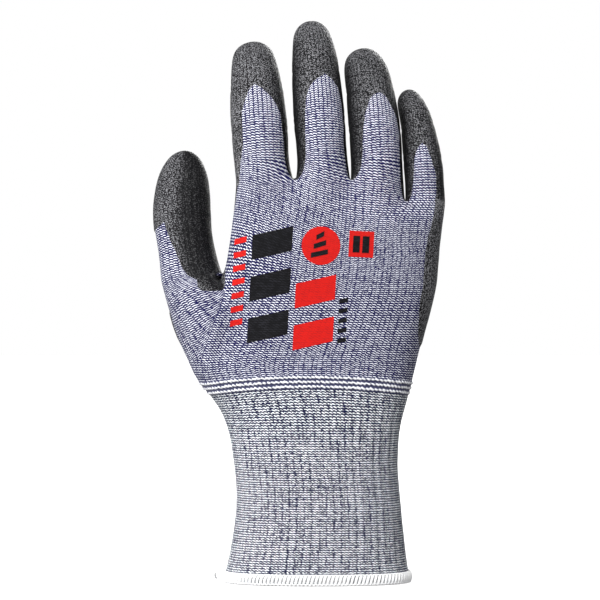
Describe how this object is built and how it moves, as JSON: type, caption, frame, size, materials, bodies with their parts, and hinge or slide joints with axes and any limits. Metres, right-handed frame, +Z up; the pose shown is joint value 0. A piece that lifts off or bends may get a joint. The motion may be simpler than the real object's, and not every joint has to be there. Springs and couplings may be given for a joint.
{
  "type": "cut resistant glove",
  "caption": "Seamless knitted right-hand work glove with a dark polyurethane dip on palm and fingertips, a ribbed cuff and an overlocked hem; fingers, thumb and wrist fold.",
  "frame": {"origin": "middle of the hand opening, in the plane of the hem's underside", "axes": "+Z up the hand to the fingertips, -Y the back of the hand, +Y the palm, -X the thumb's side"},
  "size_m": [0.1327, 0.0654, 0.2553],
  "materials": {
    "knit_body": "grey-blue heather jersey knit",
    "knit_cuff": "pale grey ribbed knit with dark flecks",
    "pu_coating": "matte dark grey dipped polyurethane, the knit showing through",
    "hem_thread": "white overlock thread",
    "elastic": "pale elastic thread",
    "print_black": "matte black heat print",
    "print_red": "matte red heat print"
  },
  "bodies": {
    "cuff": {"cuff_elastic": "elastic", "hem_overlock": "hem_thread", "hem_thread_tail": "hem_thread", "lower_cuff_knit": "knit_cuff", "wrist_fold": "knit_cuff"},
    "hand": {"hand_knit": "knit_body", "index_knuckle_fold": "knit_body", "little_knuckle_fold": "knit_body", "middle_knuckle_fold": "knit_body", "palm_coating": "pu_coating", "print_black_bar_1": "print_black", "print_black_bar_2": "print_black", "print_black_bar_3": "print_black", "print_red_badge": "print_red", "print_red_bar_1": "print_red", "print_red_bar_2": "print_red", "print_red_disc": "print_red", "ring_knuckle_fold": "knit_body", "thumb_base_fold": "knit_body", "transition_welt": "knit_cuff", "upper_cuff_knit": "knit_cuff"},
    "index_base": {"index_base_coating": "pu_coating", "index_base_knit": "knit_body", "index_middle_joint_fold": "knit_body"},
    "index_middle": {"index_end_joint_fold": "pu_coating", "index_middle_coating": "pu_coating", "index_middle_knit": "knit_body"},
    "index_tip": {"index_tip_coating": "pu_coating", "index_tip_knit": "knit_body"},
    "little_base": {"little_base_coating": "pu_coating", "little_base_knit": "knit_body", "little_middle_joint_fold": "knit_body"},
    "little_middle": {"little_end_joint_fold": "pu_coating", "little_middle_coating": "pu_coating", "little_middle_knit": "knit_body"},
    "little_tip": {"little_tip_coating": "pu_coating", "little_tip_knit": "knit_body"},
    "middle_base": {"middle_base_coating": "pu_coating", "middle_base_knit": "knit_body", "middle_middle_joint_fold": "knit_body"},
    "middle_middle": {"middle_end_joint_fold": "pu_coating", "middle_middle_coating": "pu_coating", "middle_middle_knit": "knit_body"},
    "middle_tip": {"middle_tip_coating": "pu_coating", "middle_tip_knit": "knit_body"},
    "ring_base": {"ring_base_coating": "pu_coating", "ring_base_knit": "knit_body", "ring_middle_joint_fold": "knit_body"},
    "ring_middle": {"ring_end_joint_fold": "pu_coating", "ring_middle_coating": "pu_coating", "ring_middle_knit": "knit_body"},
    "ring_tip": {"ring_tip_coating": "pu_coating", "ring_tip_knit": "knit_body"},
    "thumb_base": {"thumb_base_coating": "pu_coating", "thumb_base_knit": "knit_body", "thumb_end_joint_fold": "knit_body"},
    "thumb_tip": {"thumb_tip_coating": "pu_coating", "thumb_tip_knit": "knit_body"}
  },
  "joints": [
    {"name": "wrist_joint", "type": "hinge", "parent": "cuff", "child": "hand", "pos_m": [0.0003, 0, 0.057], "axis": [-1, 0, 0], "range_deg": [-30, 30], "stiffness_Nm_per_rad": 0.3, "deforming": ["wrist_fold"]},
    {"name": "index_knuckle_joint", "type": "hinge", "parent": "hand", "child": "index_base", "pos_m": [-0.02404, 0.00744, 0.18328], "axis": [-0.9976, 0, -0.0698], "range_deg": [-15, 50], "stiffness_Nm_per_rad": 0.02, "deforming": ["index_knuckle_fold"]},
    {"name": "index_middle_joint", "type": "hinge", "parent": "index_base", "child": "index_middle", "pos_m": [-0.02522, 0.00984, 0.19981], "axis": [-0.9976, 0, -0.0698], "range_deg": [-15, 60], "stiffness_Nm_per_rad": 0.02, "deforming": ["index_middle_joint_fold"]},
    {"name": "index_end_joint", "type": "hinge", "parent": "index_middle", "child": "index_tip", "pos_m": [-0.02668, 0.01829, 0.21822], "axis": [-0.9976, 0, -0.0698], "range_deg": [-12, 40], "stiffness_Nm_per_rad": 0.02, "deforming": ["index_end_joint_fold"]},
    {"name": "middle_knuckle_joint", "type": "hinge", "parent": "hand", "child": "middle_base", "pos_m": [0.00337, 0.006, 0.18414], "axis": [-0.9976, 0, -0.0698], "range_deg": [-15, 60], "stiffness_Nm_per_rad": 0.02, "deforming": ["middle_knuckle_fold"]},
    {"name": "middle_middle_joint", "type": "hinge", "parent": "middle_base", "child": "middle_middle", "pos_m": [0.00195, 0.00957, 0.20408], "axis": [-0.9976, 0, -0.0698], "range_deg": [-15, 70], "stiffness_Nm_per_rad": 0.02, "deforming": ["middle_middle_joint_fold"]},
    {"name": "middle_end_joint", "type": "hinge", "parent": "middle_middle", "child": "middle_tip", "pos_m": [0.00021, 0.0198, 0.22608], "axis": [-0.9976, 0, -0.0698], "range_deg": [-12, 40], "stiffness_Nm_per_rad": 0.02, "deforming": ["middle_end_joint_fold"]},
    {"name": "ring_knuckle_joint", "type": "hinge", "parent": "hand", "child": "ring_base", "pos_m": [0.0275, 0.00779, 0.18326], "axis": [-0.9976, 0, -0.0698], "range_deg": [-15, 60], "stiffness_Nm_per_rad": 0.02, "deforming": ["ring_knuckle_fold"]},
    {"name": "ring_middle_joint", "type": "hinge", "parent": "ring_base", "child": "ring_middle", "pos_m": [0.02662, 0.01155, 0.19949], "axis": [-0.9976, 0, -0.0698], "range_deg": [-15, 70], "stiffness_Nm_per_rad": 0.02, "deforming": ["ring_middle_joint_fold"]},
    {"name": "ring_end_joint", "type": "hinge", "parent": "ring_middle", "child": "ring_tip", "pos_m": [0.02505, 0.02208, 0.21741], "axis": [-0.9976, 0, -0.0698], "range_deg": [-12, 40], "stiffness_Nm_per_rad": 0.02, "deforming": ["ring_end_joint_fold"]},
    {"name": "little_knuckle_joint", "type": "hinge", "parent": "hand", "child": "little_base", "pos_m": [0.04916, 0.01107, 0.17536], "axis": [-0.9976, 0, -0.0698], "range_deg": [-15, 60], "stiffness_Nm_per_rad": 0.02, "deforming": ["little_knuckle_fold"]},
    {"name": "little_middle_joint", "type": "hinge", "parent": "little_base", "child": "little_middle", "pos_m": [0.04845, 0.01291, 0.18769], "axis": [-0.9976, 0, -0.0698], "range_deg": [-15, 70], "stiffness_Nm_per_rad": 0.02, "deforming": ["little_middle_joint_fold"]},
    {"name": "little_end_joint", "type": "hinge", "parent": "little_middle", "child": "little_tip", "pos_m": [0.04665, 0.01957, 0.20184], "axis": [-0.9976, 0, -0.0698], "range_deg": [-12, 40], "stiffness_Nm_per_rad": 0.02, "deforming": ["little_end_joint_fold"]},
    {"name": "thumb_base_joint", "type": "hinge", "parent": "hand", "child": "thumb_base", "pos_m": [-0.04924, 0.01463, 0.13891], "axis": [-0.6333, 0.6994, -0.3313], "range_deg": [-10, 8], "stiffness_Nm_per_rad": 0.02, "deforming": ["thumb_base_fold"]},
    {"name": "thumb_end_joint", "type": "hinge", "parent": "thumb_base", "child": "thumb_tip", "pos_m": [-0.05328, 0.02038, 0.16192], "axis": [-0.647, 0.7146, -0.2658], "range_deg": [-8, 30], "stiffness_Nm_per_rad": 0.02, "deforming": ["thumb_end_joint_fold"]}
  ]
}
